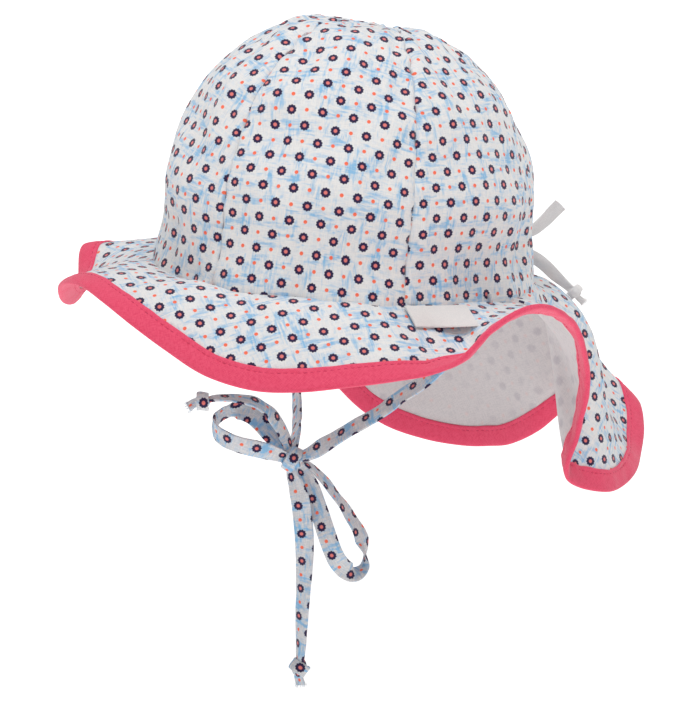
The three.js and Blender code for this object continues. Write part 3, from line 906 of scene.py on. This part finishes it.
def panel_cloth(index):
    """One gore of the crown: its body and its flat pattern."""
    start = SEAM_TURN - 90 + 360 / PANELS * index
    share = np.linspace(-1, 1, PANEL_COLUMNS)
    share = (np.sign(share) * np.abs(share) ** 0.75 + 1) / 2  # closer together at the seams
    along = CROWN_FOOT + (APEX_END - CROWN_FOOT) * np.linspace(0, 1, PANEL_ROWS) ** 0.95
    bearing = start + 360 / PANELS * share[:, None]
    base = crown_point(bearing, along[None])
    normal = face(crown_point, bearing, np.broadcast_to(along, base.shape[:2]))[2]
    wide = reach_along(base)[-1]
    across = share[:, None] * wide
    to_seam = np.minimum(across, wide - across)
    middle = reach_along(base[PANEL_COLUMNS // 2])
    u, v = np.broadcast_arrays(np.radians(bearing) * MEAN_RADIUS, middle)
    waves = CROWN_WAVE * ripples(u, v, CROWN_WAVE_SIZE, 40 + index) * ramp(to_seam, WAVE_FADE)
    creases = CROWN_CREASE * ripples(u, 0.6 * v, CROWN_CREASE_SIZE, 50 + index)
    creases = creases * ramp(to_seam, CREASE_FADE)
    near_seam = bell(to_seam, SEAM_PUCKER_REACH, 1) * (1 + 1.2 * np.clip(along * 3 - 2, 0, 1))
    puckers = SEAM_PUCKER * near_seam * ripples(v, 0 * u, SEAM_PUCKER_SIZE, 60 + index)
    gathers = GATHER * ripples(u, 0.2 * v, GATHER_SIZE, 7) - CHANNEL_DEPTH
    gathers = gathers * bell(v - CHANNEL_HEIGHT, CHANNEL_REACH) * gathered(bearing)
    seams = SEAM_DEPTH * bell(to_seam, SEAM_REACH, 1.5) + FOOT_DEPTH * bell(v, SEAM_REACH, 1.5)
    front = base + normal * (waves + creases + puckers + gathers - seams)[..., None]
    area = (start, start + 360 / PANELS, APEX_END)
    flat, maps = cut(crown_point, area, (15, 19), PANEL_GRAIN[index], bearing, along)
    name = f"crown_panel_{index + 1}"
    looks = [print_look, lining_look]
    back = front - normal * CLOTH
    return shell(name + "_cloth", front, back, maps, looks, name), flat


panels = [panel_cloth(index) for index in range(PANELS)]

# Brim and neck flap.
SHEET_COLUMNS = 45
SECTIONS_PER_DEGREE = 2.1333
SEAM_TUCK, EDGE_TUCK = 0.0016, 0.004  # how far the cloth goes on past the seam and the binding's lip
ARCH_BEARING, ARCH_REACH = 22, 22
SHEET_WAVE, SHEET_WAVE_SIZE, SHEET_FADE = 0.0006, 0.05, 0.004
ARCH_CREASE, ARCH_CREASE_SIZE = 0.0008, 0.022
EDGE_PUCKER, ARCH_PUCKER, EDGE_PUCKER_SIZE, EDGE_PUCKER_REACH = 0.00025, 0.0006, 0.010, 0.005
SEAM_ROLL, SEAM_ROLL_REACH = 0.0005, 0.0022
JOIN_GAP = 0.01  # in degrees of bearing, where brim and flap meet
BRIM_GRAIN = (30, (0.3, 1.25))
FLAP_GRAIN = (23.5, (3.1, 5.4))


def edge_bearings(start, end, count):
    """Seam bearings of places that lie evenly along the free edge."""
    edge = sheet_point(np.linspace(start, end, 4000), 1)
    return start + (end - start) * evenly_along(edge, count)


def arch(bearing):
    """1 at the arch beside the wearer's left ear, where the edge is most drawn in."""
    return bell(bearing - ARCH_BEARING, ARCH_REACH)


def sheet_cloth(node, start, end, grain):
    """The brim or the flap between two bearings: its body and its flat pattern."""
    bearing = edge_bearings(start, end, int((end - start) * SECTIONS_PER_DEGREE) + 2)
    ((stop_bearing, stop_along),) = in_from_edge(bearing, [BINDING_WIDTH - EDGE_TUCK])
    share = np.linspace(0, 1, SHEET_COLUMNS)
    begin = -SEAM_TUCK / np.linalg.norm(sheet_point(bearing, 1) - seam_point(bearing), axis=1)
    b = bearing[:, None] + (stop_bearing - bearing)[:, None] * share
    s = begin[:, None] + (stop_along - begin)[:, None] * share
    base = sheet_point(b, s)
    normal = face(sheet_point, b, s)[2]
    from_seam = reach_along(base, 1)
    to_lip = from_seam[:, -1:] - EDGE_TUCK - from_seam
    along_edge = reach_along(base[:, -1])[:, None]
    free = ramp(to_lip, SHEET_FADE) * ramp(from_seam, SHEET_FADE)
    waves = SHEET_WAVE * free * ripples(along_edge, from_seam, SHEET_WAVE_SIZE, 81)
    creases = ripples(along_edge, 0.3 * from_seam, ARCH_CREASE_SIZE, 83)
    creases = ARCH_CREASE * free * arch(b) * creases
    puckers = bell(to_lip, EDGE_PUCKER_REACH, 1) * ramp(to_lip, 0.001)
    puckers = puckers * (EDGE_PUCKER + ARCH_PUCKER * arch(b))
    puckers = puckers * ripples(along_edge, 0 * b, EDGE_PUCKER_SIZE, 82)
    sunk = SEAM_ROLL * bell(from_seam, SEAM_ROLL_REACH, 1.5) - waves - creases - puckers
    # The sheet's normal points to its underside.
    top = base + normal * (sunk - CLOTH / 2)[..., None]
    under = base + normal * (sunk + CLOTH / 2)[..., None]
    shape = (int((end - start) / 2) + 1, 9)
    flat, maps = cut(sheet_point, (start, end, 1), shape, grain, b, s)
    looks = [print_look, lining_look]
    return shell(node + "_cloth", top, under, maps, looks, node), flat


brim = sheet_cloth("brim", FLAP_TO - 360 + JOIN_GAP, FLAP_FROM - JOIN_GAP, BRIM_GRAIN)
flap = sheet_cloth("neck_flap", FLAP_FROM + JOIN_GAP, FLAP_TO - JOIN_GAP, FLAP_GRAIN)

# The binding's outline: distance in from the free edge and height off the sheet's middle.
BINDING_OUTLINE = [
    (0.0, 0.0),
    (0.00012, 0.00055),
    (0.0006, 0.00098),
    (0.0015, 0.00122),
    (0.003, 0.0013),
    (0.005, 0.0013),
    (0.0064, 0.00126),
    (0.0071, 0.00116),
    (0.0075, 0.00107),
    (0.0079, 0.00114),
    (0.0086, 0.0012),
    (0.0092, 0.00112),
    (BINDING_WIDTH, 0.00085),
    (BINDING_WIDTH, 0.00058),
    (0.0060, 0.00055),
    (0.0022, 0.00052),
    (0.0016, 0.0),
]
BINDING_SECTIONS = 880
LIP_WAVE, ARCH_LIP_WAVE, LIP_WAVE_SIZE = 0.0001, 0.0006, 0.009
BINDING_SWELL, ARCH_BINDING_SWELL, BINDING_SWELL_SIZE = 0.00008, 0.00016, 0.0085
INNER_FACE = 0.0006  # heights up to this one are inside the folded band
STITCH_PITCH, STITCH_LENGTH, STITCH_RADIUS = 0.0027, 0.0019, 0.00019
STITCH_LINE, STITCH_HEIGHT = 0.0075, 0.00112


def binding():
    """The folded band round the whole edge, with a groove where its stitches run."""
    bearing = edge_bearings(-180, 180, BINDING_SECTIONS)[:-1]
    upper = np.array(BINDING_OUTLINE)
    outline = np.vstack([upper, (upper[1:-1] * (1, -1))[::-1]])
    distances = sorted(set(upper[:, 0]))
    places = dict(zip(distances, in_from_edge(bearing, distances)))
    edge = sheet_point(bearing, 1)
    reach = reach_along(np.vstack([edge, edge[:1]]))
    rings = []
    for distance, height in outline:
        b, s = places[distance]
        around, _, normal = face(sheet_point, b, s)
        drawn = ramp(distance - 0.006, 0.0035) * (LIP_WAVE + ARCH_LIP_WAVE * arch(bearing))
        drawn = drawn * ripples(reach[:-1], 0, LIP_WAVE_SIZE, 91)
        swell = BINDING_SWELL + ARCH_BINDING_SWELL * arch(bearing)
        swell = swell * ripples(reach[:-1], distance * 3, BINDING_SWELL_SIZE, 92)
        swell = swell * np.sign(height) * ramp(distance, 0.002) * (abs(height) > INNER_FACE)
        inward = unit(np.cross(around, normal))
        point = sheet_point(b, s) - normal * (height + swell)[:, None] + inward * drawn[:, None]
        rings.append(point)
    around = reach_along(np.vstack([outline, outline[:1]]))
    maps = joined(reach[:, None], around[None]) / MM
    rings = np.stack(rings, 1)
    return tube("binding_cloth", rings, maps, pink_look, "pink_binding", "edge_binding", loop=True)


def stitches(name, middle, along, up, length, radius, look, slot):
    """A row of short stitches, each by its middle, its direction and its way up."""
    side = np.cross(along, up)
    stations = [(-1, 0.15), (-0.8, 0.8), (-0.3, 1), (0.3, 1), (0.8, 0.8), (1, 0.15)]
    sides = 6
    rings = []
    for at, size in stations:
        centre = middle + along * (at * length / 2) - up * radius * 1.1 * at**2
        for turn in np.linspace(0, 2 * np.pi, sides, endpoint=False):
            rings.append(centre + (side * np.cos(turn) + up * np.sin(turn)) * radius * size)
    points = np.stack(rings, 1).reshape(-1, 3)
    index = np.arange(len(points)).reshape(len(middle), len(stations), sides)
    index = np.concatenate([index, index[:, :, :1]], 2)
    quads = np.vstack([cells(one) for one in index])[:, ::-1]
    caps = np.vstack([index[:, 0, :-1][:, ::-1], index[:, -1, :-1]])
    faces = quads.tolist() + caps.tolist()
    if inside_out(points, quads):
        faces = [f[::-1] for f in faces]
    corners = sum(len(f) for f in faces)
    maps = np.zeros((corners, 2))
    maps[:, 0] = np.linspace(0, 400, corners)
    return body(name, points, faces, maps, [look])


def binding_stitches():
    """The row of stitches along the binding, seen on both of its sides."""
    total = reach_along(sheet_point(np.linspace(-180, 180, 4000), 1))[-1]
    bearing = edge_bearings(-180, 180, int(total / STITCH_PITCH))[:-1]
    ((b, s),) = in_from_edge(bearing, [STITCH_LINE])
    normal = face(sheet_point, b, s)[2]
    middle = sheet_point(b, s)
    step = np.roll(middle, -1, axis=0) - np.roll(middle, 1, axis=0)
    along = unit(step - (step * normal).sum(-1, keepdims=True) * normal)
    ups = np.vstack([-normal, normal])
    middles = np.vstack([middle, middle]) + STITCH_HEIGHT * ups
    size = (STITCH_LENGTH, STITCH_RADIUS)
    alongs = np.vstack([along, along])
    return stitches("binding_stitches", middles, alongs, ups, *size, thread_look, "pink_binding")


band = binding()
thread = binding_stitches()

# Label.
LABEL_FROM, LABEL_TO = -27, -7
LABEL_HANG = (0.0062, -0.0002, -0.0074)
LABEL_STANDOFF = (0.0009, -0.0010, 0.0004)
LABEL_CLEAR, LABEL_CLEAR_FROM, LABEL_CLEAR_REACH = (0.002, 0.0105), -22, 15
LABEL_FLAT = (0.026, 0.014)
LABEL_DROP = 0.0097
LABEL_THICKNESS = 0.0008
LABEL_CURL, LABEL_CURL_SIZE, LABEL_BULGE = 0.0004, 0.02, 0.00035


def label():
    """A folded ribbon sewn in the seam, standing clear of the brim towards the viewer."""
    bearing = np.linspace(LABEL_FROM, LABEL_TO, 44)[:, None]
    share = np.linspace(0, 1, 28)[None]
    down = share[..., None]
    seam = seam_point(bearing)
    clear = LABEL_CLEAR[0] + LABEL_CLEAR[1] * ramp(bearing - LABEL_CLEAR_FROM, LABEL_CLEAR_REACH)
    base = seam + np.array(LABEL_STANDOFF) + down * np.array(LABEL_HANG)
    base = base + down * clear[..., None] * SEEN_FROM
    out = unit(np.cross(seam[-1, 0] - seam[0, 0], LABEL_HANG))
    out = out if out @ SEEN_FROM > 0 else -out
    reach = np.linspace(0, LABEL_FLAT[0], len(bearing))[:, None]
    curl = LABEL_CURL * ripples(reach, 0 * share, LABEL_CURL_SIZE, 71) * share**1.5
    curl = curl + LABEL_BULGE * np.sin(np.pi * share)
    round_end = np.sqrt(np.clip(1 - ramp(share - 0.94, 0.06) ** 2, 0.02, 1))
    half = LABEL_THICKNESS / 2 * round_end
    top = base + out * (curl + half)[..., None]
    under = base + out * (curl - half)[..., None]
    maps = joined(reach, LABEL_DROP * share) / MM
    looks = [label_look, label_look]
    return shell("label_cloth", top, under, maps, looks, "label")


tag = label()


# Knots.
def lump(name, at, size, turn, look, slot, node, seed):
    """A tight knot: a ball of cloth with folds wound round it."""
    rows, columns = 48, 64
    lat = np.linspace(0.001, np.pi - 0.001, rows)[:, None]
    lon = np.linspace(0, 2 * np.pi, columns, endpoint=False)[None]
    ball = joined(np.sin(lat) * np.cos(lon), np.sin(lat) * np.sin(lon), np.cos(lat))
    wound = ball @ np.array(turn)
    folds = 0.10 * np.sin(wound * 9 + 1.2 * np.sin(lon * 2 + seed)) + 0.05 * np.sin(lon * 3 + seed)
    rings = ball * (1 + folds * np.sin(lat))[..., None] * (np.array(size) / 2) + at
    lon_map = np.linspace(0, np.pi * max(size), columns + 1)[None]
    lat_map = np.linspace(0, np.pi / 2 * size[2], rows)[:, None]
    return tube(name, rings, joined(lon_map, lat_map) / MM, look, slot, node)


def wrap(name, centre, across, radius, size, cloth, seed):
    """A flat band wound over the front of a knot, from one side of it to the other."""
    turn = np.radians(np.linspace(-35, 215, 12))[:, None]
    route = centre + radius * (np.cos(turn) * unit(np.array(across)) + np.sin(turn) * SEEN_FROM)
    return strip(name, route, size, winding(centre), (False, False), cloth, None, seed)[0]


def knotted_end(name, centre, way, across, core, strip_kind, node, seed):
    """A knot near the end of a strip: its core, a band wound over it and the frayed end."""
    (width, thickness), cloth = strip_kind
    random = np.random.default_rng(seed)
    way = unit(np.array(way))
    ball = lump(name, centre, core, unit(np.cross(way, across)), *cloth, node, seed)
    size = (0.62 * width, thickness)
    over = wrap(name + "_wrap", centre, across, 0.52 * core[0], size, cloth, seed + 20)
    bend = np.cross(way, SEEN_FROM) * 0.0006
    last = centre + way * (core[2] * 0.5 + 0.0035)
    route = [centre, centre + way * core[2] * 0.45 + bend, last]
    size, facing = (0.66 * width, thickness), turning((0, 20), (1, 35))
    end = strip(name + "_end", route, size, facing, (True, False), cloth, None, seed + 40)[0]
    side = unit(np.cross(way, SEEN_FROM))
    count = 14
    place = last + side * np.linspace(-0.3, 0.3, count)[:, None] * width
    spread = side * random.normal(0, 0.3, (count, 1)) + SEEN_FROM * random.normal(0, 0.3, (count, 1))
    ups = np.tile(side, (count, 1))
    fray = stitches(name + "_fray", place, unit(way + spread), ups, 0.0026, 0.00009, *cloth)
    return [ball, over, end, fray]


UP_RIGHT = 0.5 * RIGHT + 0.87 * TOP
BOW_CORE, BOW_TURN = (0.0088, 0.0082, 0.0104), (0.4, 0.3, 0.85)
BOW_WRAP_RADIUS, BOW_WRAP_WIDTH = 0.0047, 0.0052
lump("bow_knot_cloth", BOW_KNOT, BOW_CORE, BOW_TURN, *PRINTED, "bow_knot", 1)
bow_wrap_size = (BOW_WRAP_WIDTH, TIE_THICKNESS)
wrap("bow_knot_wrap", BOW_KNOT, UP_RIGHT, BOW_WRAP_RADIUS, bow_wrap_size, PRINTED, 31)

LOWER_KNOT_RISE = np.array((0, 0, 0.0015))
END_KNOTS = [
    # strip, the knot's name and node, its middle, way on, way that its band winds, and core
    (
        "bow_tail_left", "left_end_knot_cloth", "bow_tail_left_knot",
        LEFT_END_KNOT, -RIGHT - 0.4 * TOP, TOP, (0.0062, 0.006, 0.0058),
    ),
    (
        "bow_tail_down", "lower_end_knot_cloth", "bow_tail_down_knot",
        LOWER_END_KNOT + LOWER_KNOT_RISE, (0.06, 0.05, -1), 1.2 * TOP - UP_RIGHT,
        (0.0066, 0.0056, 0.0086),
    ),
    (
        "drawstring_end_lower", "drawstring_knot", "drawstring_end_knot",
        TAPE_END_KNOT, (0.5, 0.35, -0.7), (0.55, 0.45, 0.7), (0.0056, 0.0054, 0.0054),
    ),
]
for seed, (node, name, knot_node, centre, way, across, core) in enumerate(END_KNOTS, 2):
    knot = knotted_end(name, np.array(centre), way, across, core, kind(node), knot_node, seed)

# What hangs free: the loop below does nothing with the strips. The upper end of
# the drawstring is too short to count as a free cord.
for node, (made, length, line) in strips.items():
    if node == "drawstring_end_upper":
        continue

# Floor and light. The floor glows a little more where it is further from the hat: its dimmer glow
# round the hat is a painted shadow under it, which also throws less light up at the hat.
FLOOR_HEIGHT, FLOOR_REACH = -0.26, 8
FLOOR_GLOW, FLOOR_GLOW_RISE, FLOOR_RISES_FROM, FLOOR_RISES_TO = 0.5, 0.5, 0.28, 1.2
WORLD_LIGHT = 0.36
LIGHTS = [
    # name, azimuth, elevation, distance, size, power
    ("key", 50, 84, 1.3, 0.9, 11),
    ("fill", 22, 38, 1.6, 1.2, 1.6),
]

floor_mesh = bpy.data.meshes.new("floor")
floor_corners = [(-1, -1), (1, -1), (1, 1), (-1, 1)]
floor_corners = [(x * FLOOR_REACH, y * FLOOR_REACH, FLOOR_HEIGHT) for x, y in floor_corners]
floor_mesh.from_pydata(floor_corners, [], [(0, 1, 2, 3)])
floor = bpy.data.objects.new("floor", floor_mesh)
bpy.context.scene.collection.objects.link(floor)
floor_look = Look("floor")
place = floor_look.add("ShaderNodeTexCoord").outputs["Object"]
# Painted shadow: the floor's glow is dimmer near the hat and rises away from it.
away = floor_look.vector("LENGTH", place).outputs[1]
away = floor_look.step(away, FLOOR_RISES_FROM, FLOOR_RISES_TO)
floor_shader = floor_look.add(
    "ShaderNodeBsdfPrincipled",
    {
        "Base Color": (0.8, 0.8, 0.8, 1),
        "Roughness": 0.9,
        "Emission Color": (1, 1, 1, 1),
        "Emission Strength": floor_look.math("MULTIPLY_ADD", away, FLOOR_GLOW_RISE, FLOOR_GLOW),
    },
)
floor_look.add("ShaderNodeOutputMaterial", {"Surface": floor_shader.outputs[0]})
floor_mesh.materials.append(floor_look.material)

world = bpy.data.worlds.new("studio")
world.use_nodes = True
world.node_tree.nodes["Background"].inputs[0].default_value = (1, 1, 1, 1)
world.node_tree.nodes["Background"].inputs[1].default_value = WORLD_LIGHT
bpy.context.scene.world = world

for name, azimuth, elevation, distance, size, power in LIGHTS:
    light = bpy.data.lights.new(name, "AREA")
    light.size, light.energy = size, power
    looking(name, light, way_to(azimuth, elevation) * distance, Vector((0, 0, 0)))
